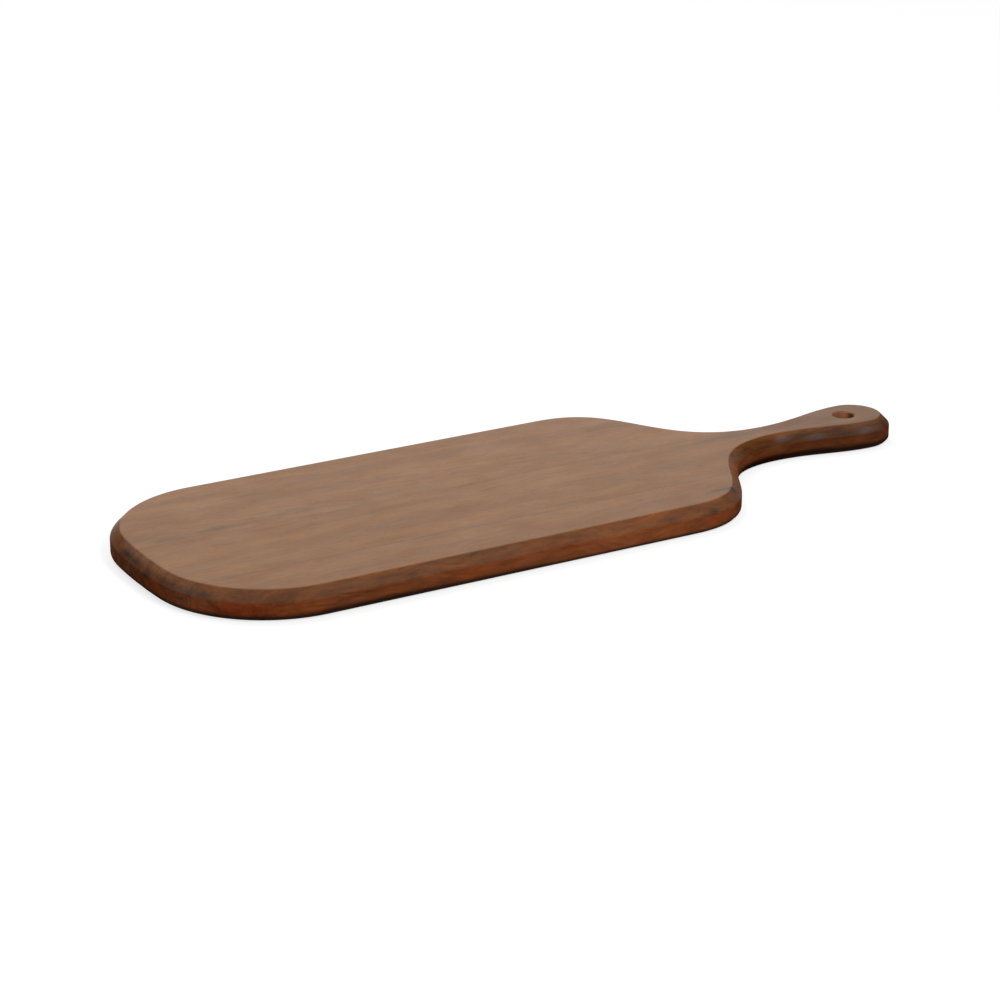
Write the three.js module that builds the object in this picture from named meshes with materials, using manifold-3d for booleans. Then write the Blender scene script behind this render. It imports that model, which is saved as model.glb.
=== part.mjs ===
// A paddle-shaped serving board: three hardwood staves glued edge to edge and cut to one outline, with a
// wide bevel round the top face, a small one round the underside and a hanging hole through the handle.
// Millimetres. X runs along the board from its free end to the tip of its handle, Y across it, Z up.
// The origin is the middle of the underside's bounding box, on the table.

import * as THREE from 'three';
import { mergeVertices } from 'three/addons/utils/BufferGeometryUtils.js';
import Module from 'manifold-3d';

// Lengths along the board: the straight-sided body, the shoulders, and the handle from the neck's waist
const bodyLength = 370;
const shoulderLength = 135;
const handleLength = 105;

// Widths and thickness
const bodyWidth = 222;
const neckWidth = 32;
const handleEndWidth = 55;
const thickness = 20;

// Free end: a slight crown between two large round corners
const endCrownRadius = 430;
const endCornerRadius = 86;

// How far each end of the shoulder's and the handle's S-curve keeps its direction
const shoulderPull = 81;
const neckShoulderPull = 84;
const neckHandlePull = 31;
const handleEndPull = 29;

// Bevels at 45 degrees, and the hanging hole
const topBevel = 7;
const undersideBevel = 3;
const holeDiameter = 16;
const holeFromTip = 36;
const holeRimBevel = 0.6;

// Glued joints: the wide stave's joint passes beside the hole and leaves sound wood between them
const glueThickness = 0.2;
const woodBesideHole = 2.5;
const middleStaveWidth = 74.5;

// How far a cutting solid reaches past the board
const cutterReach = 10;

// Facets of each curved stretch
const curveFacets = 24;
const holeFacets = 40;

// Places worked out from the sizes above
const overallLength = bodyLength + shoulderLength + handleLength;
const freeEndX = -overallLength / 2;
const shoulderX = freeEndX + bodyLength;
const neckX = shoulderX + shoulderLength;
const tipX = neckX + handleLength;
const handleEndRadius = handleEndWidth / 2;
const handleEndX = tipX - handleEndRadius;
const wideJointY = holeDiameter / 2 + woodBesideHole;
const narrowJointY = wideJointY - middleStaveWidth;

const wasm = await Module();
wasm.setup();

// Turns a closed three.js geometry into a solid that can be joined and cut
function solidFrom(geometry) {
  geometry.deleteAttribute('normal');
  geometry.deleteAttribute('uv');
  const merged = mergeVertices(geometry);
  const vertProperties = merged.getAttribute('position').array;
  const triVerts = Uint32Array.from(merged.getIndex().array);
  return new wasm.Manifold(new wasm.Mesh({ numProp: 3, vertProperties, triVerts }));
}

// Turns a solid back into a three.js geometry
function geometryFrom(solid) {
  const { vertProperties, triVerts } = solid.getMesh();
  const geometry = new THREE.BufferGeometry();
  geometry.setAttribute('position', new THREE.BufferAttribute(vertProperties, 3));
  geometry.setIndex(new THREE.BufferAttribute(triVerts, 1));
  geometry.computeVertexNormals();
  return geometry;
}

// Draws a smooth S from one point to another, leaving and arriving along X
function drawSCurve(outline, from, to) {
  const way = Math.sign(to.x - from.x);
  outline.bezierCurveTo(from.x + way * from.pull, from.y, to.x - way * to.pull, to.y, to.x, to.y);
}

// The same point on the other side of the board's long axis
function mirrored(point) {
  return { ...point, y: -point.y };
}

// The board's outline, counter-clockwise from the waist of the neck on its +Y side
function boardOutline() {
  const shoulder = { x: shoulderX, y: bodyWidth / 2, pull: shoulderPull };
  const waistToShoulder = { x: neckX, y: neckWidth / 2, pull: neckShoulderPull };
  const waistToHandle = { x: neckX, y: neckWidth / 2, pull: neckHandlePull };
  const handleEdge = { x: handleEndX, y: handleEndRadius, pull: handleEndPull };

  // Each corner's arc meets the crown's arc where both have the same direction
  const crownX = freeEndX + endCrownRadius;
  const cornerY = bodyWidth / 2 - endCornerRadius;
  const cornerX = crownX - Math.sqrt((endCrownRadius - endCornerRadius) ** 2 - cornerY ** 2);
  const crownTurn = Math.atan2(cornerY, crownX - cornerX);
  const quarter = Math.PI / 2;

  const outline = new THREE.Shape();
  outline.moveTo(waistToShoulder.x, waistToShoulder.y);
  drawSCurve(outline, waistToShoulder, shoulder);
  outline.absarc(cornerX, cornerY, endCornerRadius, quarter, Math.PI - crownTurn);
  outline.absarc(crownX, 0, endCrownRadius, Math.PI - crownTurn, Math.PI + crownTurn);
  outline.absarc(cornerX, -cornerY, endCornerRadius, Math.PI + crownTurn, 3 * quarter);
  outline.lineTo(shoulder.x, -shoulder.y);
  drawSCurve(outline, mirrored(shoulder), mirrored(waistToShoulder));
  drawSCurve(outline, mirrored(waistToHandle), mirrored(handleEdge));
  outline.absarc(handleEndX, 0, handleEndRadius, -quarter, quarter);
  drawSCurve(outline, handleEdge, waistToHandle);
  return outline;
}

// The outline as a slab between two heights, with the same 45-degree bevel round both faces
function beveledSlab(outline, bottom, top, bevel) {
  const slab = new THREE.ExtrudeGeometry(outline, {
    depth: top - bottom - 2 * bevel,
    curveSegments: curveFacets,
    bevelThickness: bevel,
    bevelSize: bevel,
    bevelOffset: -bevel,
    bevelSegments: 1,
  });
  slab.translate(0, 0, bottom + bevel);
  return solidFrom(slab);
}

// The hanging hole as a revolved plug, flared at both faces where the rim is eased
function hangingHole() {
  const radius = holeDiameter / 2;
  const flare = radius + holeRimBevel + cutterReach;
  const profile = [
    new THREE.Vector2(0, -cutterReach),
    new THREE.Vector2(flare, -cutterReach),
    new THREE.Vector2(radius, holeRimBevel),
    new THREE.Vector2(radius, thickness - holeRimBevel),
    new THREE.Vector2(flare, thickness + cutterReach),
    new THREE.Vector2(0, thickness + cutterReach),
  ];
  const plug = new THREE.LatheGeometry(profile, holeFacets);
  plug.rotateX(Math.PI / 2);
  plug.translate(tipX - holeFromTip, 0, 0);
  return solidFrom(plug);
}

// The whole board before it is parted: each bevel comes from a slab that overshoots on its other face
function boardBlank() {
  const outline = boardOutline();
  const topBeveled = beveledSlab(outline, -thickness, thickness, topBevel);
  const undersideBeveled = beveledSlab(outline, 0, 2 * thickness, undersideBevel);
  return topBeveled.intersect(undersideBeveled).subtract(hangingHole());
}

// Everything on the +Y side of a lengthwise plane
function halfSpaceBeyond(y) {
  const across = bodyWidth + 2 * cutterReach;
  const box = new THREE.BoxGeometry(overallLength + 2 * cutterReach, across, thickness + 2 * cutterReach);
  box.translate(0, y + across / 2, thickness / 2);
  return solidFrom(box);
}

// Parts the board along lengthwise planes, from -Y to +Y: neighbours share the face that parted them
function partedAlong(blank, planes) {
  const strips = [];
  let rest = blank;
  for (const y of planes) {
    const beyond = halfSpaceBeyond(y);
    strips.push(rest.subtract(beyond));
    rest = rest.intersect(beyond);
  }
  strips.push(rest);
  return strips;
}

// Oiled hardwood, each stave a little different in tone
function staveMaterial(color) {
  return new THREE.MeshStandardMaterial({ color, roughness: 0.38, metalness: 0 });
}

function glueMaterial() {
  return new THREE.MeshStandardMaterial({ color: 0x2a140b, roughness: 0.5, metalness: 0 });
}

const halfGlue = glueThickness / 2;
const partingPlanes = [narrowJointY, wideJointY].flatMap((y) => [y - halfGlue, y + halfGlue]);
const strips = partedAlong(boardBlank(), partingPlanes);

// From the -Y side to the +Y side, as the strips come
const pieces = [
  ['narrow_stave', staveMaterial(0x6a3a20)],
  ['narrow_stave_glue_line', glueMaterial()],
  ['middle_stave', staveMaterial(0x65381f)],
  ['wide_stave_glue_line', glueMaterial()],
  ['wide_stave', staveMaterial(0x6b3f26)],
];

const servingBoard = new THREE.Group();
for (const [index, [name, material]] of pieces.entries()) {
  const piece = new THREE.Mesh(geometryFrom(strips[index]), material);
  piece.name = name;
  servingBoard.add(piece);
}

export default servingBoard;
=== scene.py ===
"""Dresses a paddle-shaped serving board: three oiled hardwood staves and the glue lines between them.

Metres. X runs along the board from its free end to the handle's tip, Y across it and Z up from the table.
What is in the wood, such as its rings, marks and the painted shade at its foot, is in millimetres in the
same frame.
"""

import logging
import math
from collections.abc import Mapping, Sequence
from dataclasses import dataclass, field
from enum import Enum
from typing import Any, Union

import bmesh
import bpy
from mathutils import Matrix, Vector


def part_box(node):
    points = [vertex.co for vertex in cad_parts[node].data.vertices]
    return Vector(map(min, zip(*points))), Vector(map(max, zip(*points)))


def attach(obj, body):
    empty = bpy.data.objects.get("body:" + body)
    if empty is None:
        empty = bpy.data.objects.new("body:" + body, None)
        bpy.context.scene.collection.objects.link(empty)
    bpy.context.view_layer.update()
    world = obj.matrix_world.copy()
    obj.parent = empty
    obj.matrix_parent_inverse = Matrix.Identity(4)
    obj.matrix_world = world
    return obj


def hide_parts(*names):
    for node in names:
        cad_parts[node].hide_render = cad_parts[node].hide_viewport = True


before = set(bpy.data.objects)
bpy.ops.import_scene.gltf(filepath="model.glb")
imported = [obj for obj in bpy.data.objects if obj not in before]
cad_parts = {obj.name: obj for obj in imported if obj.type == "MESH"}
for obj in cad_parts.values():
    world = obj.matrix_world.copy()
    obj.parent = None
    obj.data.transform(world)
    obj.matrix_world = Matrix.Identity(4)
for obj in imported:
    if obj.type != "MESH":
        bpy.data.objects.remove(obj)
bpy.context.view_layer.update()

log = logging.getLogger("serving_board")

MILLIMETRES = 1000.0
NOISE_MIDDLE = 0.5
WHITE = (1.0, 1.0, 1.0, 1.0)

Number = Union["Out", float]
Pair = tuple[float, float]
Triple = tuple[float, float, float]


def opaque(colour: Triple) -> tuple[float, float, float, float]:
    """A colour with full alpha, as a socket takes it."""
    return (*colour, 1.0)


class Out:
    """One node output that adds and multiplies like a number."""

    def __init__(self, graph: "Graph", socket: bpy.types.NodeSocket | None) -> None:
        """Keeps an output and its graph."""
        self.graph = graph
        self.socket = socket

    def also(self, name: str) -> "Out":
        """Another output of the same node."""
        return Out(self.graph, self.socket.node.outputs[name])

    @property
    def swing(self) -> "Out":
        """How far a noise is from its middle."""
        return self - NOISE_MIDDLE

    def maths(self, operation: str, *others: Number) -> "Out":
        """One step of arithmetic on this number and any others."""
        sockets = dict(enumerate((self, *others)))
        return self.graph.add("ShaderNodeMath", sockets, operation=operation)

    def vectors(self, operation: str, *others: Any, output: str = "Vector") -> "Out":
        """One step of arithmetic on this vector and any others."""
        sockets = dict(enumerate((self, *others)))
        return self.graph.add("ShaderNodeVectorMath", sockets, output, operation=operation)

    def split(self) -> tuple["Out", "Out", "Out"]:
        """The three numbers of this vector."""
        first = self.graph.add("ShaderNodeSeparateXYZ", {0: self}, "X")
        return first, first.also("Y"), first.also("Z")

    def blend(self, first: Any, second: Any) -> "Out":
        """A colour between two colours, by this share."""
        return self.graph.add("ShaderNodeMix", {0: self, 6: first, 7: second}, 2, data_type="RGBA")

    def times(self, colour: Any) -> "Out":
        """A colour times this number."""
        return self.graph.combine(self, self, self).vectors("MULTIPLY", colour)

    def __add__(self, other: Number) -> "Out":
        """Sum."""
        return self.maths("ADD", other)

    def __sub__(self, other: Number) -> "Out":
        """Difference."""
        return self.maths("SUBTRACT", other)

    def __rsub__(self, other: float) -> "Out":
        """Difference from a plain number."""
        return self.maths("MULTIPLY_ADD", -1.0, other)

    def __mul__(self, other: Number) -> "Out":
        """Product."""
        return self.maths("MULTIPLY", other)

    def __neg__(self) -> "Out":
        """Opposite."""
        return self.maths("MULTIPLY", -1.0)

    def __abs__(self) -> "Out":
        """Size without sign."""
        return self.maths("ABSOLUTE")

    __radd__ = __add__
    __rmul__ = __mul__


class Graph:
    """Adds nodes to one node tree and hands back their outputs."""

    def __init__(self, tree: bpy.types.NodeTree) -> None:
        """Works on a tree, emptied first."""
        self.tree = tree
        tree.nodes.clear()

    def feed(self, socket: bpy.types.NodeSocket, value: Any) -> None:
        """Links a socket or sets its own value.

        Args:
            socket: The input that is fed.
            value: An output, a list of them for a socket that takes several, or a plain value.
        """
        if isinstance(value, Out):
            self.tree.links.new(value.socket, socket)
        elif isinstance(value, list):
            for one in value:
                self.feed(socket, one)
        else:
            socket.default_value = value

    def add(
        self,
        kind: str,
        sockets: Mapping[str | int, Any] | None = None,
        output: str | int = 0,
        **settings: Any,
    ) -> Out:
        """Makes a node.

        Args:
            kind: The node's type name.
            sockets: Values or outputs for its inputs, by name or place.
            output: The output that is handed back, by name or place.
            **settings: Properties of the node, set before its inputs.

        Returns:
            That output.
        """
        node = self.tree.nodes.new(kind)
        for name, value in settings.items():
            setattr(node, name, value)
        for key, value in (sockets or {}).items():
            self.feed(node.inputs[key], value)
        return Out(self, node.outputs[output] if len(node.outputs) else None)

    def combine(self, x: Number, y: Number, z: Number = 0.0) -> Out:
        """A vector from three numbers."""
        return self.add("ShaderNodeCombineXYZ", {0: x, 1: y, 2: z})


@dataclass(frozen=True)
class Ramp:
    """A smooth step from start to end while a value goes from low to high."""

    low: float
    high: float
    start: float = 0.0
    end: float = 1.0

    def at(self, value: Out) -> Out:
        """The step at a value."""
        sockets = dict(enumerate((value, self.low, self.high, self.start, self.end)))
        return value.graph.add("ShaderNodeMapRange", sockets, interpolation_type="SMOOTHSTEP")


@dataclass(frozen=True)
class Hump:
    """A smooth step up over one span of a value and down again over another."""

    rise: Pair
    fall: Pair

    def at(self, value: Out) -> Out:
        """The hump at a value."""
        return Ramp(*self.rise).at(value) * Ramp(*self.fall, 1.0, 0.0).at(value)


@dataclass(frozen=True)
class BoardSizes:
    """The board's sizes, as its solids have them, and the small rounding of its arrises."""

    # Lengths along the board, then widths and thickness
    body_length: float = 0.370
    shoulder_length: float = 0.135
    handle_length: float = 0.105
    body_width: float = 0.222
    neck_width: float = 0.032
    handle_end_width: float = 0.055
    thickness: float = 0.020

    # The free end's arcs, and how far each end of an S-curve keeps its direction
    end_crown_radius: float = 0.430
    end_corner_radius: float = 0.086
    shoulder_pull: float = 0.081
    neck_shoulder_pull: float = 0.084
    neck_handle_pull: float = 0.031
    handle_end_pull: float = 0.029

    # Bevels at 45 degrees, the lip of each face next to them, the hanging hole and the rounded arrises
    top_bevel: float = 0.007
    underside_bevel: float = 0.003
    lip: float = 0.0015
    hole_radius: float = 0.008
    hole_from_tip: float = 0.036
    hole_rim_bevel: float = 0.0006
    top_arris: float = 0.0025
    bevel_arris: float = 0.0035
    underside_arris: float = 0.0022
    rim_arris: float = 0.0005

    @property
    def free_end_x(self) -> float:
        """Where the body's free end is."""
        return -(self.body_length + self.shoulder_length + self.handle_length) / 2

    @property
    def shoulder_x(self) -> float:
        """Where the straight sides end and the shoulders start."""
        return self.free_end_x + self.body_length

    @property
    def neck_x(self) -> float:
        """Where the neck is narrowest."""
        return self.shoulder_x + self.shoulder_length

    @property
    def tip_x(self) -> float:
        """Where the handle ends."""
        return self.neck_x + self.handle_length

    @property
    def hole_x(self) -> float:
        """Where the hanging hole's axis is."""
        return self.tip_x - self.hole_from_tip


@dataclass(frozen=True)
class Outline:
    """The board's outline seen from above, as a chain of points."""

    sizes: BoardSizes
    facets: int = 48

    def s_curve(self, start: Pair, start_pull: float, end: Pair, end_pull: float) -> list[Pair]:
        """Draws a smooth S between two points, leaving and arriving along X.

        Args:
            start: First point.
            start_pull: How far the curve keeps its direction after the first point.
            end: Last point.
            end_pull: How far the curve keeps its direction before the last point.

        Returns:
            Its points in order, without the last.
        """
        way = math.copysign(1.0, end[0] - start[0])
        xs = (start[0], start[0] + way * start_pull, end[0] - way * end_pull, end[0])
        ys = (start[1], start[1], end[1], end[1])
        points = []
        for step in range(self.facets):
            done = step / self.facets
            left = 1 - done
            weights = (left ** 3, 3 * done * left ** 2, 3 * done * done * left, done ** 3)
            x = sum(weight * place for weight, place in zip(weights, xs))
            y = sum(weight * place for weight, place in zip(weights, ys))
            points.append((x, y))
        return points

    def arc(self, centre: Pair, radius: float, start: float, end: float) -> list[Pair]:
        """An arc between two angles, without its last point."""
        turns = [start + (end - start) * step / self.facets for step in range(self.facets)]
        return [(centre[0] + radius * math.cos(turn), centre[1] + radius * math.sin(turn)) for turn in turns]

    def points(self) -> list[Pair]:
        """Draws the closed outline.

        Returns:
            Its points, counter-clockwise from the waist of the neck on its +Y side.
        """
        sizes = self.sizes
        half, neck, grip = sizes.body_width / 2, sizes.neck_width / 2, sizes.handle_end_width / 2
        crown, corner = sizes.end_crown_radius, sizes.end_corner_radius
        shoulder_pull, neck_pull = sizes.shoulder_pull, sizes.neck_shoulder_pull
        waist_pull, grip_pull = sizes.neck_handle_pull, sizes.handle_end_pull
        shoulder_x, neck_x, grip_x = sizes.shoulder_x, sizes.neck_x, sizes.tip_x - grip
        crown_x = sizes.free_end_x + crown
        corner_y = half - corner
        corner_x = crown_x - math.sqrt((crown - corner) ** 2 - corner_y ** 2)
        turn = math.atan2(corner_y, crown_x - corner_x)
        quarter = math.pi / 2
        chain = self.s_curve((neck_x, neck), neck_pull, (shoulder_x, half), shoulder_pull)
        chain += [(shoulder_x, half)]
        chain += self.arc((corner_x, corner_y), corner, quarter, math.pi - turn)
        chain += self.arc((crown_x, 0.0), crown, math.pi - turn, math.pi + turn)
        chain += self.arc((corner_x, -corner_y), corner, math.pi + turn, 3 * quarter)
        chain += [(corner_x, -half)]
        chain += self.s_curve((shoulder_x, -half), shoulder_pull, (neck_x, -neck), neck_pull)
        chain += self.s_curve((neck_x, -neck), waist_pull, (grip_x, -grip), grip_pull)
        chain += self.arc((grip_x, 0.0), grip, -quarter, quarter)
        chain += self.s_curve((grip_x, grip), grip_pull, (neck_x, neck), waist_pull)
        return chain

    def curve(self) -> bpy.types.Object:
        """Makes the outline a closed curve.

        Returns:
            The curve, as an object in the scene.
        """
        data = bpy.data.curves.new("board_outline", "CURVE")
        data.dimensions = "3D"
        spline = data.splines.new("POLY")
        chain = self.points()
        spline.points.add(len(chain) - 1)
        for place, (x, y) in zip(spline.points, chain):
            place.co = (x, y, 0.0, 1.0)
        spline.use_cyclic_u = True
        made = bpy.data.objects.new("board_outline", data)
        bpy.context.scene.collection.objects.link(made)
        return made


class Side(Enum):
    """Which flat face, by how its height compares with half the thickness."""

    TOP = "GREATER_THAN"
    UNDERSIDE = "LESS_THAN"


# The sizes that are inputs of the blank's node tree
SWEPT_SIZES = (
    "thickness", "top_bevel", "underside_bevel", "lip", "top_arris", "bevel_arris", "underside_arris",
    "hole_x", "hole_radius", "hole_rim_bevel", "rim_arris",
)


@dataclass
class BoardBlank:
    """The board before it is parted: one edge profile follows the outline and another the hole's rim."""

    sizes: BoardSizes
    weld: float = 2e-6
    rim_facets: int = 96
    arris_facets: int = 6

    def __post_init__(self) -> None:
        """Starts the node tree, with a named input for the outline, each size and the wood."""
        self.tree = bpy.data.node_groups.new("board_blank", "GeometryNodeTree")
        self.graph = Graph(self.tree)
        kinds = {"outline": "NodeSocketGeometry"}
        kinds |= dict.fromkeys(self.values(), "NodeSocketFloat")
        kinds["wood"] = "NodeSocketMaterial"
        for name, kind in kinds.items():
            self.tree.interface.new_socket(name, in_out="INPUT", socket_type=kind)
        self.tree.interface.new_socket("blank", in_out="OUTPUT", socket_type="NodeSocketGeometry")
        given = self.graph.add("NodeGroupInput")
        self.inputs = {name: given.also(name) for name in kinds}

    def values(self) -> dict[str, float]:
        """What each of the tree's sizes is set to, by its name."""
        return {name: getattr(self.sizes, name) for name in SWEPT_SIZES}

    def fill_tree(self) -> None:
        """Sweeps both profiles and closes the faces between them."""
        add, given = self.graph.add, self.inputs
        path = add("GeometryNodeSetCurveNormal", {"Curve": given["outline"]}, mode="Z_UP")
        circle = {"Resolution": self.rim_facets, "Radius": given["hole_radius"]}
        rim = add("GeometryNodeCurvePrimitiveCircle", circle)
        rim = add("GeometryNodeSetCurveNormal", {"Curve": rim}, mode="Z_UP")
        arrises = [given[name] for name in ("top_arris", "bevel_arris", "underside_arris", "top_arris")]
        edge = self.profile(-1.0, given["top_bevel"], given["underside_bevel"], arrises)
        edge = self.swept(path, edge)
        bore = self.profile(1.0, given["hole_rim_bevel"], given["hole_rim_bevel"], [given["rim_arris"]] * 4)
        bore = self.swept(rim, bore)
        centre = self.graph.combine(given["hole_x"], 0.0)
        bore = add("GeometryNodeTransform", {"Geometry": bore, "Translation": centre})
        walls = add("GeometryNodeJoinGeometry", {0: [edge, bore]})
        top = self.face(walls, Side.TOP, given["thickness"])
        foot = add("GeometryNodeFlipFaces", {"Mesh": self.face(walls, Side.UNDERSIDE, 0.0)})
        whole = add("GeometryNodeJoinGeometry", {0: [walls, top, foot]})
        whole = add("GeometryNodeMergeByDistance", {"Geometry": whole, "Distance": self.weld})
        whole = add("GeometryNodeRealizeInstances", {"Geometry": whole})
        whole = add("GeometryNodeSetMaterial", {"Geometry": whole, "Material": given["wood"]})
        add("NodeGroupOutput", {"blank": whole})

    def profile(self, way: float, high: Out, low: Out, arrises: Sequence[Out]) -> Out:
        """Draws a bevelled edge from the top face down to the underside, with a lip of each face.

        Args:
            way: Which way the faces are from the edge, 1 for outwards or -1 for inwards.
            high: The upper bevel.
            low: The lower bevel.
            arrises: The radii of the four arrises, from the top.

        Returns:
            The edge as a curve.
        """
        add, top, lip = self.graph.add, self.inputs["thickness"], self.inputs["lip"]
        across = [high + lip, high, 0.0, 0.0, low, low + lip]
        heights = [top, top, top - high, low, 0.0, 0.0]
        places = [self.graph.combine(out * way, -height) for out, height in zip(across, heights)]
        chain = add("GeometryNodeMeshLine", {"Count": len(places)})
        position = self.chosen("VECTOR", places)
        chain = add("GeometryNodeSetPosition", {"Geometry": chain, "Position": position})
        chain = add("GeometryNodeMeshToCurve", {"Mesh": chain})
        rounding = self.chosen("FLOAT", [0.0, *arrises, 0.0])
        sockets = {"Curve": chain, "Count": self.arris_facets, "Radius": rounding, "Limit Radius": True}
        return add("GeometryNodeFilletCurve", sockets, mode="POLY")

    def chosen(self, kind: str, values: Sequence[Number]) -> Out:
        """Picks one value of a list for each point.

        Args:
            kind: The values' data type.
            values: The list, in the points' order.

        Returns:
            The point's value.
        """
        switch = self.graph.add("GeometryNodeIndexSwitch", data_type=kind)
        node = switch.socket.node
        while len(node.index_switch_items) < len(values):
            node.index_switch_items.new()
        self.graph.feed(node.inputs["Index"], self.graph.add("GeometryNodeInputIndex"))
        for place, value in enumerate(values):
            self.graph.feed(node.inputs[str(place)], value)
        return switch

    def smooth(self, shape: Out) -> Out:
        """A shape, shaded smooth."""
        return self.graph.add("GeometryNodeSetShadeSmooth", {"Geometry": shape, "Shade Smooth": True})

    def swept(self, path: Out, profile: Out) -> Out:
        """A profile carried along a path."""
        sockets = {"Curve": path, "Profile Curve": profile}
        return self.smooth(self.graph.add("GeometryNodeCurveToMesh", sockets))

    def face(self, walls: Out, side: Side, height: Number) -> Out:
        """Closes the walls' open loops with a flat face.

        Args:
            walls: The swept walls.
            side: Which of the two faces.
            height: The face's height.

        Returns:
            The face as a mesh.
        """
        add = self.graph.add
        x, y, z = add("GeometryNodeInputPosition").split()
        faces = add("GeometryNodeInputMeshEdgeNeighbors")
        open_edge = add("FunctionNodeCompare", {2: faces, 3: 1}, data_type="INT", operation="EQUAL")
        middle = self.inputs["thickness"] * 0.5
        on_side = add("FunctionNodeCompare", {0: z, 1: middle}, data_type="FLOAT", operation=side.value)
        wanted = add("FunctionNodeBooleanMath", {0: open_edge, 1: on_side}, operation="AND")
        loops = add("GeometryNodeMeshToCurve", {"Mesh": walls, "Selection": wanted})
        flat = add("GeometryNodeFillCurve", {"Curve": loops}, mode="TRIANGLES")
        lifted = {"Geometry": flat, "Position": self.graph.combine(x, y, height)}
        return self.smooth(add("GeometryNodeSetPosition", lifted))

    def build(self) -> bpy.types.Mesh:
        """Runs the node tree on the outline.

        Returns:
            The blank as a plain mesh.
        """
        self.fill_tree()
        made = Outline(self.sizes).curve()
        modifier = made.modifiers.new("board_blank", "NODES")
        modifier.node_group = self.tree
        values = self.values()
        for item in self.tree.interface.items_tree:
            if item.name in values:
                modifier[item.identifier] = values[item.name]
        evaluated = made.evaluated_get(bpy.context.evaluated_depsgraph_get())
        mesh = bpy.data.meshes.new_from_object(evaluated)
        made.modifiers.remove(modifier)
        bpy.data.objects.remove(made)
        bpy.data.node_groups.remove(self.tree)
        return mesh


class Finish:
    """A finish that makes its own material."""

    name: str

    def material(self) -> bpy.types.Material:
        """The material."""
        raise NotImplementedError

    def started(self) -> tuple[bpy.types.Material, Graph]:
        """Starts a material.

        Returns:
            The new material and its empty graph.
        """
        made = bpy.data.materials.new(self.name)
        made.use_nodes = True
        return made, Graph(made.node_tree)


@dataclass
class Strip:
    """One lengthwise strip of the board: a stave or a glue line."""

    node: str
    slot: str
    finish: Finish
    edge_margin: float = 1e-5
    cut_tolerance: float = 1e-7

    def build(self, blank: bpy.types.Mesh) -> bpy.types.Object:
        """Parts this strip from the blank.

        Args:
            blank: The whole board.

        Returns:
            The strip, which stands for its solid.
        """
        low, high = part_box(self.node)
        shape = bmesh.new()
        shape.from_mesh(blank)
        bmesh.ops.recalc_face_normals(shape, faces=shape.faces)
        edge = max(vertex.co.y for vertex in shape.verts)
        for y, beyond in ((low.y, -1.0), (high.y, 1.0)):
            if abs(y) < edge - self.edge_margin:
                self.part(shape, y, beyond)
        mesh = bpy.data.meshes.new(f"{self.node}_dressed")
        shape.to_mesh(mesh)
        shape.free()
        piece = bpy.data.objects.new(f"{self.node}_dressed", mesh)
        bpy.context.scene.collection.objects.link(piece)
        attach(piece, "root")
        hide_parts(self.node)
        return piece

    def part(self, shape: bmesh.types.BMesh, y: float, beyond: float) -> None:
        """Cuts a shape along a lengthwise plane, drops what is beyond it and closes the cut.

        Args:
            shape: What is cut, in place.
            y: Where the plane is.
            beyond: Which side is dropped, 1 or -1.
        """
        normal = (0.0, beyond, 0.0)
        cut = bmesh.ops.bisect_plane(
            shape,
            geom=[*shape.verts, *shape.edges, *shape.faces],
            dist=self.cut_tolerance,
            plane_co=(0.0, y, 0.0),
            plane_no=normal,
            clear_outer=True,
        )
        edges = [edge for edge in cut["geom_cut"] if isinstance(edge, bmesh.types.BMEdge)]
        closed = bmesh.ops.triangle_fill(shape, use_beauty=True, edges=edges, normal=normal)
        faces = [face for face in closed["geom"] if isinstance(face, bmesh.types.BMFace)]
        for sharp in (*faces, *edges):
            sharp.smooth = False

    def dress(self, piece: bpy.types.Object) -> None:
        """Gives the strip its finish."""
        piece.data.materials.clear()
        piece.data.materials.append(self.finish.material())


@dataclass(frozen=True)
class Surface:
    """A place on the board: where it is, its normal's parts and, from 0 to 1, what it belongs to."""

    x: Out
    z: Out
    along: Out
    across: Out
    up: Out
    flat: Out  # The top face and the underside
    side: Out  # The upright edge and the underside's bevel
    bevel: Out  # The top bevel
    end_grain: Out  # Where the edge faces along the board
    dull_end: Out  # The same, less sharply, and further round on one side of each end
    hollow: Out  # The edge from the shoulders to the neck
    steep: Out  # The bevel in the hollow where it faces the handle most
    handle: Out  # The neck and the handle


@dataclass(frozen=True)
class Survey:
    """Tells the board's surfaces apart by the normal, its angle and the place along the board."""

    flat: Ramp = Ramp(0.80, 0.995)
    upright: Ramp = Ramp(0.25, 0.6, 1.0, 0.0)
    least_across: float = 0.05
    end_grain: Ramp = Ramp(1.0, 1.45)
    dull_end: Ramp = Ramp(0.85, 1.4)
    dull_skew: float = 0.8
    steep: Ramp = Ramp(0.54, 0.61)
    past_shoulder: Ramp = Ramp(10.0, 45.0)
    short_of_handle: Ramp = Ramp(-15.0, 25.0, 1.0, 0.0)
    handle: Ramp = Ramp(-50.0, 35.0)

    def surface(self, place: Out, facing: Out) -> Surface:
        """Reads a place.

        Args:
            place: The place in millimetres.
            facing: The unit normal there.

        Returns:
            What the place belongs to.
        """
        sizes = BoardSizes()
        x, _, z = place.split()
        along, across, up = facing.split()
        from_neck = x - sizes.neck_x * MILLIMETRES
        curved = self.past_shoulder.at(x - sizes.shoulder_x * MILLIMETRES)
        curved = curved * self.short_of_handle.at(from_neck)
        turn = abs(along).maths("ARCTAN2", abs(across) + self.least_across)
        flat = self.flat.at(abs(up))
        upright = self.upright.at(up)
        edge = 1.0 - flat
        bevel = (1.0 - upright) * edge
        return Surface(
            x=x, z=z, along=along, across=across, up=up, flat=flat, bevel=bevel,
            side=upright * edge,
            end_grain=self.end_grain.at(turn),
            dull_end=self.dull_end.at(turn - along * across * self.dull_skew) * edge,
            hollow=curved * edge,
            steep=self.steep.at(along) * curved * bevel,
            handle=self.handle.at(from_neck),
        )


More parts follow.
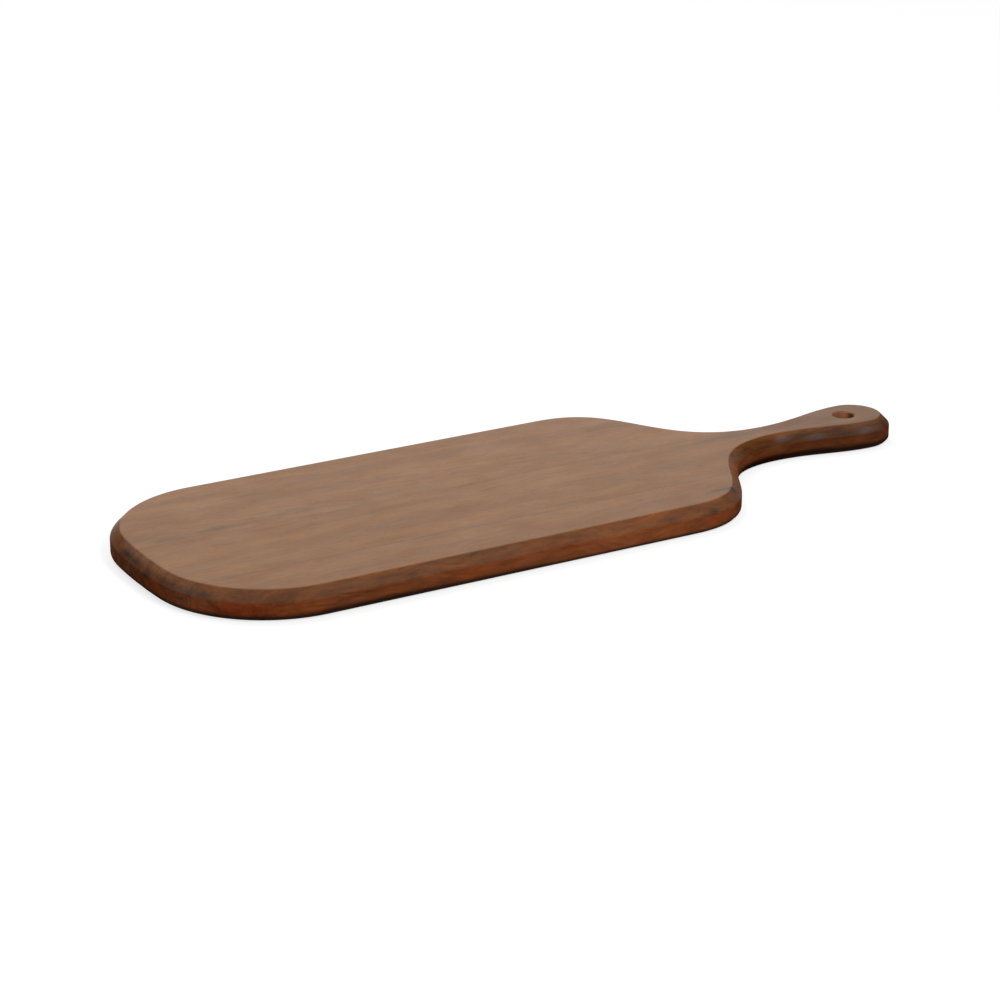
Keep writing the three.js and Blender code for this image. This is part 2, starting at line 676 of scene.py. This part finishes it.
@dataclass(frozen=True)
class Noise:
    """A noise's scale along each axis, per millimetre, its detail and its own seed."""

    scale: Triple
    detail: float = 2.0
    seed: float = 0.0
    seed_spread: float = 17.3
    scale_spread: float = 41.0

    def shift(self, stave_seed: float) -> Triple:
        """How far the noise is moved for a stave's seed."""
        return stave_seed * self.seed_spread, stave_seed + self.seed, self.scale[1] * self.scale_spread


class Texture(Enum):
    """The noises in the wood, from those that bend its rings to its pores."""

    SWAY = Noise((0.012, 0.020, 0.020))
    LIFT = Noise((0.014, 0.016, 0.016), seed=9.0)
    JITTER = Noise((0.02, 0.25, 0.25), detail=3.0)
    CLOUD = Noise((0.022, 0.055, 0.055))
    HUE = Noise((0.028, 0.09, 0.09), seed=5.0)
    STREAKS = Noise((0.04, 0.17, 0.17))
    FIBRE = Noise((0.04, 0.6, 0.6), detail=3.0)
    FINE = Noise((0.06, 3.5, 3.5))
    RIPPLE = Noise((0.045, 0.12, 0.2), seed=2.0)
    PORES = Noise((0.1, 2.2, 2.2), detail=1.0)


@dataclass(frozen=True)
class Grain:
    """What a place in the wood has of each part of the grain, from 0 to 1."""

    bands: Out  # Broad bands of several rings
    late: Out  # The dark late wood of each ring
    cloud: Out  # Patches some centimetres long
    hue: Out  # Patches of a warmer or greyer hue
    streaks: Out  # Streaks some millimetres wide
    fibre: Out  # Fibres about a millimetre wide
    fine: Out  # The finest fibres
    ripple: Out  # Uneven patches, mostly on the edges
    pores: Out  # Open pores


@dataclass(frozen=True)
class Figure:
    """How a stave was sawn from the log: growth rings round a leaning pith, and fibres along them."""

    pith: Pair
    lean: Pair
    ring_gap: float
    sway: float
    seed: float
    ring_jitter: float = 0.9
    late: Hump = Hump((0.15, 0.85), (0.87, 1.0))
    least_late: float = 0.2
    band_pace: float = 0.26
    band_seed: float = 3.7
    pores: Ramp = Ramp(0.65, 0.74)

    def noise(self, place: Out, texture: Texture) -> Out:
        """Adds one of the wood's noises.

        Args:
            place: The place in millimetres.
            texture: Which noise.

        Returns:
            The noise, from 0 to 1.
        """
        noise = texture.value
        stretched = place.vectors("MULTIPLY_ADD", noise.scale, noise.shift(self.seed))
        sockets = {"Vector": stretched, "Scale": 1.0, "Detail": noise.detail, "Roughness": 0.55}
        return place.graph.add("ShaderNodeTexNoise", sockets)

    def grain(self, place: Out) -> Grain:
        """Grows the rings, fibres and pores.

        Args:
            place: The place in millimetres.

        Returns:
            The grain there.
        """
        graph = place.graph
        x, y, z = place.split()
        aside = y - self.pith[0] - x * self.lean[0] + self.noise(place, Texture.SWAY).swing * self.sway
        above = z - self.pith[1] - x * self.lean[1] + self.noise(place, Texture.LIFT).swing * self.sway
        follow = graph.combine(x, aside, above)
        jitter = self.noise(follow, Texture.JITTER).swing * self.ring_jitter
        count = (aside * aside + above * above).maths("SQRT").maths("DIVIDE", self.ring_gap) + jitter
        year = count.maths("FLOOR") + self.seed
        own = graph.add("ShaderNodeTexWhiteNoise", {"W": year}, "Value", noise_dimensions="1D")
        along_rings = count * self.band_pace + self.seed * self.band_seed
        slow = {"W": along_rings, "Scale": 1.0, "Detail": 2.0, "Roughness": 0.5}
        late = self.late.at(count.maths("FRACT"))
        return Grain(
            bands=graph.add("ShaderNodeTexNoise", slow, noise_dimensions="1D"),
            late=late * (self.least_late + own * (1.0 - self.least_late)),
            cloud=self.noise(follow, Texture.CLOUD),
            hue=self.noise(follow, Texture.HUE),
            streaks=self.noise(follow, Texture.STREAKS),
            fibre=self.noise(follow, Texture.FIBRE),
            fine=self.noise(follow, Texture.FINE),
            ripple=self.noise(follow, Texture.RIPPLE),
            pores=self.pores.at(self.noise(follow, Texture.PORES)),
        )


class Stain(Enum):
    """Colours of the marks in the wood, and of the grey painted highlights."""

    MINERAL = (0.046, 0.035, 0.017)
    # Grey patches that are painted highlights
    PAINTED_HIGHLIGHT = (0.420, 0.330, 0.235)
    FLAME = (0.400, 0.105, 0.018)
    SAPWOOD = (0.430, 0.175, 0.036)
    HEARTWOOD = (0.235, 0.045, 0.004)


@dataclass(frozen=True)
class Mark:
    """A streak or patch of another colour in the wood, with edges that fray along the grain."""

    centre: Triple
    reach: Triple
    strength: float
    fray: float = 1.0
    stain: Stain = Stain.MINERAL
    streak_fray: float = 0.9
    fibre_fray: float = 0.5
    outer_edge: float = 1.1

    def cover(self, place: Out, grain: Grain) -> Out:
        """Tells how much of the wood the mark covers.

        Args:
            place: The place in millimetres.
            grain: The grain there.

        Returns:
            The covered share.
        """
        reached = place.vectors("SUBTRACT", self.centre).vectors("DIVIDE", self.reach)
        frayed = grain.streaks.swing * self.streak_fray + grain.fibre.swing * self.fibre_fray
        away = reached.vectors("LENGTH", output="Value") + frayed * self.fray
        return Ramp(0.0, self.outer_edge, self.strength, 0.0).at(away)


@dataclass(frozen=True)
class Tone:
    """The wood's dark and pale colours, and how far each part of the grain moves it between them."""

    pale: Triple
    dark: Triple
    middle: float = 0.55
    bands: float = 0.6
    cloud: float = 0.7
    streaks: float = 0.5
    fibre: float = 0.6
    late: float = -0.25
    reach: Ramp = Ramp(0.05, 0.95)
    hue_drift: Triple = (0.22, -0.1, -1.1)

    def colour(self, grain: Grain) -> Out:
        """Colours the wood.

        Args:
            grain: The grain.

        Returns:
            The colour, before marks and before faces and edges are told apart.
        """
        value = self.middle + grain.bands.swing * self.bands + grain.cloud.swing * self.cloud
        value = value + grain.streaks.swing * self.streaks + grain.fibre.swing * self.fibre
        share = self.reach.at(value + grain.late * self.late)
        drift = share.graph.combine(*(1.0 + grain.hue.swing * amount for amount in self.hue_drift))
        return drift.vectors("MULTIPLY", share.blend(opaque(self.dark), opaque(self.pale)))


@dataclass(frozen=True)
class Soil:
    """Painted shade round the board's foot, darker towards the bottom, whose upper edge rises and falls
    along the board.
    """

    fade: Ramp = Ramp(2.0, 6.2, 0.86, 0.0)
    rises: tuple[Ramp, ...] = (
        Ramp(-240, -215, 0, 0.95),
        Ramp(-165, -110, 0, -0.95),
        Ramp(-80, -40, 0, -1.2),
        Ramp(80, 100, 0, 1.2),
        Ramp(138, 165, 0, 2),
        Ramp(238, 250, 0, -0.7),
    )

    def cover(self, surface: Surface) -> Out:
        """How much the painted shade at the foot darkens a place."""
        raised = sum(rise.at(surface.x) for rise in self.rises)
        return self.fade.at(surface.z - raised) * (1.0 - surface.flat)


@dataclass(frozen=True)
class Shading:
    """How much each cause lightens or darkens the wood, some of them painted light and shade, as shares, and
    the hue of bevels and sides.
    """

    # The grain
    fine: float = 0.45
    ripple: float = 1.3
    ripple_lost_on_faces: float = 1.1
    fibre_on_edges: float = 0.5
    pores: float = -0.4

    # The surface
    end_grain: float = -0.4
    # Painted shade in the hollow from the shoulders to the neck
    hollow: float = -0.2
    # Painted light on the hollow's bevel where it faces the handle
    steep: float = 0.4
    # Painted shade low on the bevel and painted light high on it
    bevel: Ramp = Ramp(12.5, 20.0, -0.15, 0.09)
    near_handle: Ramp = Ramp(-20.0, 90.0, 0.0, -0.06)
    # Painted highlight along the handle's upper arris
    handle_arris: Ramp = Ramp(16.6, 18.6, 0.0, 0.35)
    handle_bevel: float = -0.22
    handle_side: float = -0.1
    # Painted shade round the foot
    soil: Soil = Soil()
    # The bevels' darker hue is painted shade; the sides' darker, redder hue is partly the wood's own and
    # partly painted shade
    side_hue: Triple = (0.75, 0.53, 0.84)
    bevel_hue: Triple = (0.65, 0.555, 0.74)

    # Worn arrises, where the normal is between those of the faces that meet there
    worn: float = 0.06
    worn_fibres: Ramp = Ramp(0.35, 0.65)
    upper_arris: Hump = Hump((0.72, 0.84), (0.9, 0.995))
    lower_arris: Hump = Hump((0.05, 0.3), (0.45, 0.68))

    def cast(self, surface: Surface, grain: Grain, handle_tone: float) -> Out:
        """Works out what the wood's colour is multiplied by.

        Args:
            surface: The place on the board.
            grain: The grain there.
            handle_tone: The share of its light that the stave keeps on the handle.

        Returns:
            A share for each of the three colours.
        """
        ripple = grain.ripple.swing * (self.ripple - surface.flat * self.ripple_lost_on_faces)
        fibre = grain.fibre.swing * (1.0 - surface.flat) * self.fibre_on_edges
        light = 1.0 + grain.fine.swing * self.fine + ripple + fibre
        changes = (
            grain.pores * self.pores,
            surface.end_grain * surface.side * self.end_grain,
            # Painted shade in the hollow
            surface.hollow * self.hollow,
            # Painted shade at the foot
            -self.soil.cover(surface),
            # Painted light on the hollow's bevel where it faces the handle
            surface.steep * self.steep,
            # Painted shade low on the bevel and painted light high on it
            self.bevel.at(surface.z) * surface.bevel,
            # Painted highlight along the handle's upper arris
            self.handle_arris.at(surface.z) * surface.bevel * surface.handle,
            self.near_handle.at(surface.x) * surface.flat,
            surface.handle * (handle_tone - 1.0),
            surface.handle * (surface.bevel * self.handle_bevel + surface.side * self.handle_side),
            self.rubbed(surface.up, grain.fine) * self.worn,
        )
        for change in changes:
            light = light * (1.0 + change)
        # Bevels and sides take the darker hues above, painted shade in part
        hue = surface.side.blend(opaque(self.bevel_hue), opaque(self.side_hue))
        return light.times(surface.flat.blend(hue, WHITE))

    def rubbed(self, up: Out, fine: Out) -> Out:
        """How much an arris is rubbed, from 0 to 1."""
        return (self.upper_arris.at(up) + self.lower_arris.at(up)) * self.worn_fibres.at(fine)


@dataclass(frozen=True)
class Sheen:
    """How much of the oil's sheen each kind of surface shows, and what wear and handling take away."""

    # By the normal's upward part: from sides to bevels, more on the top face, and the underside
    bevel: Ramp = Ramp(0.25, 0.6, 0.06, 0.55)
    more_on_top: Ramp = Ramp(0.8, 0.97, 0.0, 0.17)
    underside: Ramp = Ramp(-0.97, -0.9, 0.6, 0.0)

    # What is lost in the hollow, and what its bevel keeps where it faces the handle
    hollow: float = 0.9
    open_bevel: Ramp = Ramp(0.25, 0.6, 0.0, 0.4)
    steep: float = 0.8

    # What is lost at the ends, and what the upper part of their bevels keeps on one side
    dull_end: float = 0.8
    kept_heights: Ramp = Ramp(15.0, 19.0)
    kept_side: Ramp = Ramp(0.0, 0.12, 0.7, 0.0)

    # What is lost on the handle and in the grain
    handle: float = 0.1
    handle_end: float = 0.75
    faces_end: Ramp = Ramp(0.05, 0.35)
    pores: float = 0.3
    cloud: float = 0.48

    def left(self, surface: Surface, grain: Grain) -> Out:
        """Works out the sheen.

        Args:
            surface: The place on the board.
            grain: The grain there.

        Returns:
            The coat's weight.
        """
        up, along = surface.up, surface.along
        oil = self.bevel.at(up) + self.underside.at(up) + self.more_on_top.at(up)
        sheltered = surface.hollow * (self.hollow - self.open_bevel.at(along) * surface.bevel)
        kept = self.kept_heights.at(surface.z) * self.kept_side.at(surface.across)
        dull_end = surface.dull_end * (1.0 - surface.steep) * (1.0 - kept)
        handle_end = dull_end.maths("MAXIMUM", self.faces_end.at(along)) * self.handle_end
        losses = (
            dull_end * self.dull_end,
            sheltered * (1.0 - surface.steep * self.steep),
            surface.handle * (self.handle + handle_end),
            grain.pores * self.pores,
        )
        for loss in losses:
            oil = oil * (1.0 - loss)
        return oil * (1.0 + grain.cloud.swing * self.cloud)


@dataclass(frozen=True)
class Relief:
    """How far the grain's parts stand up or lie deep, as shares of one depth, and how rough they are."""

    fibre: float = 0.5
    fine: float = 0.3
    pores: float = -0.5
    late: float = -0.15
    roughness: float = 0.45
    rough_fine: float = 0.1
    rough_pores: float = 0.12

    def height(self, grain: Grain) -> Out:
        """The height, as a share of the depth."""
        raised = grain.fibre * self.fibre + grain.fine * self.fine
        return raised + grain.pores * self.pores + grain.late * self.late

    def rough(self, grain: Grain) -> Out:
        """The roughness, which changes with the finest fibres and is higher in pores."""
        return self.roughness + grain.fine.swing * self.rough_fine + grain.pores * self.rough_pores


@dataclass(frozen=True)
class Bore:
    """The drilled hole's wall: painted paler as painted light, with painted shade on the side of the
    handle's tip.
    """

    # A paler colour that stands in for light on the wall
    colour: Triple = (0.420, 0.173, 0.092)
    rim: Ramp = Ramp(0.05, 0.5, 1.0, 0.0)
    # Painted shade on the wall at the tip's side, painted light round from it, and milder painted shade
    # towards the neck's side
    tip_side: Ramp = Ramp(-1.0, -0.75, 0.42, 1.25)
    neck_side: Ramp = Ramp(-0.75, -0.1, 1.0, 0.66)

    def wall(self, place: Out) -> Out:
        """Finds the hole's wall.

        Args:
            place: The place in millimetres.

        Returns:
            One on the wall, and zero outside its rim.
        """
        sizes = BoardSizes()
        level = place.vectors("MULTIPLY_ADD", (1.0, 1.0, 0.0), (-sizes.hole_x * MILLIMETRES, 0.0, 0.0))
        away = level.vectors("LENGTH", output="Value")
        return self.rim.at(away - sizes.hole_radius * MILLIMETRES)

    def tone(self, along: Out) -> Out:
        """The wall's colour, with painted light and shade by the normal's part along the board."""
        return (self.tip_side.at(along) * self.neck_side.at(along)).times(self.colour)


@dataclass(frozen=True)
class StaveWood(Finish):
    """Oiled red-brown hardwood with growth rings, fibres, pores and mineral streaks right through it."""

    name: str
    tone: Tone
    figure: Figure
    marks: tuple[Mark, ...] = ()
    handle_tone: float = 1.0
    survey: Survey = Survey()
    shading: Shading = Shading()
    sheen: Sheen = Sheen()
    relief: Relief = Relief()
    bore: Bore = Bore()

    def material(self) -> bpy.types.Material:
        """Makes the wood, the same all through, so that faces, bevels and ends show one figure.

        Returns:
            The material.
        """
        made, graph = self.started()
        coordinates = graph.add("ShaderNodeTexCoord", output="Object")
        place = coordinates.vectors("MULTIPLY", (MILLIMETRES,) * 3)
        surface = self.survey.surface(place, coordinates.also("Normal"))
        grain = self.figure.grain(place)
        colour = self.tone.colour(grain)
        for mark in self.marks:
            colour = mark.cover(place, grain).blend(colour, opaque(mark.stain.value))
        colour = colour.vectors("MULTIPLY", self.shading.cast(surface, grain, self.handle_tone))
        colour = self.bore.wall(place).blend(colour, self.bore.tone(surface.along))
        bump = {"Strength": 0.3, "Distance": 0.0004, "Height": self.relief.height(grain)}
        shader = graph.add("ShaderNodeBsdfPrincipled", {
            "Base Color": colour,
            "Roughness": self.relief.rough(grain),
            "Specular IOR Level": 0.0,
            "Normal": graph.add("ShaderNodeBump", bump),
            "Coat Weight": self.sheen.left(surface, grain),
            "Coat Roughness": 0.25,
            "Coat IOR": 1.45,
        })
        graph.add("ShaderNodeOutputMaterial", {"Surface": shader})
        return made


@dataclass(frozen=True)
class SetGlue(Finish):
    """Set wood glue: a dark film with paler clouds."""

    name: str
    colour: Triple
    paler: float = 1.9
    clouds: Ramp = Ramp(0.35, 0.75)
    roughness: float = 0.4
    rough_clouds: float = 0.2

    def material(self) -> bpy.types.Material:
        """Makes the glue.

        Returns:
            The material.
        """
        made, graph = self.started()
        place = graph.add("ShaderNodeTexCoord", output="Object")
        cloud = graph.add("ShaderNodeTexNoise", {"Vector": place, "Scale": 260.0, "Detail": 3.0})
        pale = tuple(self.paler * part for part in self.colour)
        bump = {"Strength": 0.2, "Distance": 0.0001, "Height": cloud}
        shader = graph.add("ShaderNodeBsdfPrincipled", {
            "Base Color": self.clouds.at(cloud).blend(opaque(self.colour), opaque(pale)),
            "Roughness": self.roughness + cloud * self.rough_clouds,
            "Specular IOR Level": 0.1,
            "Normal": graph.add("ShaderNodeBump", bump),
        })
        graph.add("ShaderNodeOutputMaterial", {"Surface": shader})
        return made


class Wood(Enum):
    """The three staves' timber and the glue between them."""

    NARROW = StaveWood(
        name="narrow_stave_wood",
        tone=Tone(pale=(0.284, 0.1133, 0.0219), dark=(0.219, 0.0823, 0.0169)),
        figure=Figure(pith=(-150.0, -60.0), lean=(0.035, -0.02), ring_gap=4.6, sway=22.0, seed=3.0),
        marks=(
            Mark((0, -112, 11), (105, 14, 16), 0.55, 0.6, stain=Stain.SAPWOOD),
            Mark((100, -88.5, 20), (22, 4, 5), 0.75),
            Mark((108.5, -89.5, 18.5), (8, 3.5, 4), 0.7),
            Mark((78.5, -109, 14), (7, 4, 2.6), 0.85),
            Mark((-288, -72, 14.3), (8, 12, 3.2), 0.7, 0.4),
            Mark((77, -110, 8), (6, 6, 6), 0.8, stain=Stain.FLAME),
            Mark((89, -107.5, 9.5), (4, 5, 5), 0.7, stain=Stain.FLAME),
            Mark((-276, -88, 9.5), (14, 16, 5), 0.45, stain=Stain.FLAME),
            Mark((-268, -94, 7.5), (45, 34, 7.5), 0.7, 0.6, stain=Stain.HEARTWOOD),
            Mark((-120, -111, 10), (30, 6, 4), 0.4, stain=Stain.FLAME),
            Mark((-45, -110, 13.8), (34, 6, 4), 0.5, stain=Stain.FLAME),
            Mark((22, -106.5, 18), (55, 5, 3), 0.3, stain=Stain.FLAME),
            Mark((-112, -105.5, 18.8), (50, 4, 3), 0.35, 0.6),
        ),
    )
    MIDDLE = StaveWood(
        name="middle_stave_wood",
        tone=Tone(pale=(0.292, 0.1178, 0.0225), dark=(0.212, 0.0797, 0.0167)),
        figure=Figure(pith=(-190.0, -70.0), lean=(0.010, 0.012), ring_gap=4.0, sway=16.0, seed=11.0),
        marks=(
            Mark((165, 3, 20), (48, 7, 8), 0.4),
            Mark((-302, 5, 15), (6, 14, 4), 0.8, 0.4),
            Mark((-303.5, -17, 13.5), (5, 10, 5), 0.8, 0.4),
            Mark((-299, -42, 13.8), (8, 26, 3.6), 0.75, 0.4),
            Mark((-294, -61, 14), (8, 12, 3.2), 0.65, 0.4),
            Mark((-303, -33, 8.5), (8, 24, 6), 0.5, stain=Stain.FLAME),
            Mark((243, -24, 15), (11, 5, 3), 0.35),
            # The grey patches on the handle's bevel are painted highlights
            Mark((205.5, -13, 16.2), (10, 5, 2.6), 0.6, stain=Stain.PAINTED_HIGHLIGHT),
            Mark((231, -18.5, 14.3), (13, 5, 2.6), 0.4, stain=Stain.PAINTED_HIGHLIGHT),
            Mark((277, -27, 11.8), (20, 7, 2.8), 0.3, 0.5),
            Mark((270, -26, 15), (11, 5, 3.5), 0.42, stain=Stain.PAINTED_HIGHLIGHT),
        ),
        handle_tone=0.72,
    )
    WIDE = StaveWood(
        name="wide_stave_wood",
        tone=Tone(pale=(0.307, 0.1265, 0.0268), dark=(0.217, 0.0845, 0.0188)),
        figure=Figure(pith=(17.0, -24.0), lean=(0.0, -0.085), ring_gap=3.4, sway=16.0, seed=23.0),
        marks=(
            Mark((-271, 19.5, 20), (20, 6, 6), 0.45),
            Mark((-286, 25, 20), (18, 6, 6), 0.28),
            Mark((-236, 19.5, 20), (20, 6, 6), 0.45),
            Mark((-212, 18, 20), (12, 5, 6), 0.28),
            Mark((-167, 23, 20), (28, 7, 6), 0.3),
            Mark((-105, 23, 20), (24, 7, 6), 0.24),
            Mark((-182, 68, 20), (34, 6, 6), 0.3),
            Mark((-301.5, 18, 15), (6, 15, 4), 0.8, 0.4),
        ),
        handle_tone=0.75,
    )
    GLUE = SetGlue(name="set_glue", colour=(0.032, 0.012, 0.006))


@dataclass
class ServingBoard:
    """The whole board: its staves and glue lines, cut to one outline."""

    sizes: BoardSizes = field(default_factory=BoardSizes)
    strips: list[Strip] = field(default_factory=lambda: [
        Strip("narrow_stave", "narrow_stave_wood", Wood.NARROW.value),
        Strip("narrow_stave_glue_line", "glue", Wood.GLUE.value),
        Strip("middle_stave", "middle_stave_wood", Wood.MIDDLE.value),
        Strip("wide_stave_glue_line", "glue", Wood.GLUE.value),
        Strip("wide_stave", "wide_stave_wood", Wood.WIDE.value),
    ])

    def build(self) -> None:
        """Makes, parts and dresses every strip."""
        blank = BoardBlank(self.sizes).build()
        log.info("blank: %d vertices", len(blank.vertices))
        for strip in self.strips:
            piece = strip.build(blank)
            strip.dress(piece)
            log.info("%s: %d faces", piece.name, len(piece.data.polygons))
        bpy.data.meshes.remove(blank)


@dataclass(frozen=True)
class Lamp:
    """A soft rectangular studio lamp aimed at the board."""

    name: str
    place: Triple
    size: Pair
    power: float

    def build(self) -> None:
        """Hangs the lamp."""
        data = bpy.data.lights.new(self.name, "AREA")
        data.shape = "RECTANGLE"
        data.size, data.size_y = self.size
        data.energy = self.power
        made = bpy.data.objects.new(self.name, data)
        made.location = self.place
        made.rotation_euler = (-Vector(self.place)).to_track_quat("-Z", "Y").to_euler()
        made.visible_glossy = False
        bpy.context.scene.collection.objects.link(made)


@dataclass(frozen=True)
class Viewpoint:
    """A level camera at the photograph's viewing angle, in degrees, metres and millimetres of lens."""

    azimuth: float = -30.459
    elevation: float = 20.23
    distance: float = 2.0767
    target: Triple = (-0.01721, 0.01821, 0.0)
    lens: float = 105.81
    sensor: float = 36.0
    far_clip: float = 50.0

    def build(self) -> None:
        """Sets the camera up and looks through it."""
        azimuth, elevation = math.radians(self.azimuth), math.radians(self.elevation)
        back = Vector((
            math.sin(azimuth) * math.cos(elevation),
            -math.cos(azimuth) * math.cos(elevation),
            math.sin(elevation),
        ))
        data = bpy.data.cameras.new("camera")
        data.sensor_width = self.sensor
        data.lens = self.lens
        data.clip_end = self.far_clip
        made = bpy.data.objects.new("camera", data)
        made.location = Vector(self.target) + back * self.distance
        made.rotation_euler = (-back).to_track_quat("-Z", "Y").to_euler()
        bpy.context.scene.collection.objects.link(made)
        bpy.context.scene.camera = made


@dataclass
class Studio:
    """A white floor and backdrop, soft lamps and the camera."""

    ambient: float = 0.45
    floor_reach: float = 12.0
    floor_facets: int = 96
    floor_height: float = -0.0002
    floor_grey: float = 0.55
    seen_floor_grey: float = 0.40
    seen_floor_glow: float = 0.72
    lamps: tuple[Lamp, ...] = (
        Lamp("back_softbox", (0.0, 1.25, 2.2), (2.0, 1.4), 18.0),
        Lamp("key_softbox", (0.35, -1.45, 1.80), (0.7, 0.7), 17.0),
    )
    viewpoint: Viewpoint = Viewpoint()

    def build(self) -> None:
        """Sets up the light, the floor and the camera."""
        self.backdrop()
        self.floor()
        for lamp in self.lamps:
            lamp.build()
        self.viewpoint.build()
        bpy.context.scene.view_settings.view_transform = "Standard"

    def seen_directly(self, graph: Graph) -> Out:
        """Tells which rays see the background itself.

        Args:
            graph: Where its nodes go.

        Returns:
            One for rays from the camera, from reflections and through clear things.
        """
        path = graph.add("ShaderNodeLightPath", output="Is Camera Ray")
        seen = path.maths("MAXIMUM", path.also("Is Glossy Ray"))
        return seen.maths("MAXIMUM", path.also("Is Transmission Ray"))

    def backdrop(self) -> None:
        """Surrounds the board with white, which lights it evenly."""
        world = bpy.data.worlds.new("studio")
        bpy.context.scene.world = world
        world.use_nodes = True
        graph = Graph(world.node_tree)
        white = graph.add("ShaderNodeBackground", {"Color": WHITE, "Strength": 1.0})
        soft = graph.add("ShaderNodeBackground", {"Color": WHITE, "Strength": self.ambient})
        both = graph.add("ShaderNodeMixShader", {0: self.seen_directly(graph), 1: soft, 2: white})
        graph.add("ShaderNodeOutputWorld", {"Surface": both})

    def floor(self) -> None:
        """Lays a wide floor just under the board."""
        shape = bmesh.new()
        bmesh.ops.create_circle(shape, cap_ends=True, segments=self.floor_facets, radius=self.floor_reach)
        mesh = bpy.data.meshes.new("floor")
        shape.to_mesh(mesh)
        shape.free()
        made = bpy.data.objects.new("floor", mesh)
        made.location.z = self.floor_height
        bpy.context.scene.collection.objects.link(made)
        mesh.materials.append(self.floor_material())

    def floor_material(self) -> bpy.types.Material:
        """Makes the floor white to the eye, and keeps the board's shadow on it.

        Returns:
            The material.
        """
        material = bpy.data.materials.new("floor_white")
        material.use_nodes = True
        graph = Graph(material.node_tree)
        plain = graph.add("ShaderNodeBsdfDiffuse", {"Color": opaque((self.floor_grey,) * 3)})
        white = graph.add("ShaderNodeBsdfDiffuse", {"Color": opaque((self.seen_floor_grey,) * 3)})
        glow = graph.add("ShaderNodeEmission", {"Color": WHITE, "Strength": self.seen_floor_glow})
        white = graph.add("ShaderNodeAddShader", {0: white, 1: glow})
        both = graph.add("ShaderNodeMixShader", {0: self.seen_directly(graph), 1: plain, 2: white})
        graph.add("ShaderNodeOutputMaterial", {"Surface": both})
        return material


def main() -> None:
    """Builds the board, then the studio round it."""
    logging.basicConfig(level=logging.INFO, format="%(name)s: %(message)s")
    ServingBoard().build()
    Studio().build()


if __name__ == "__main__":
    main()
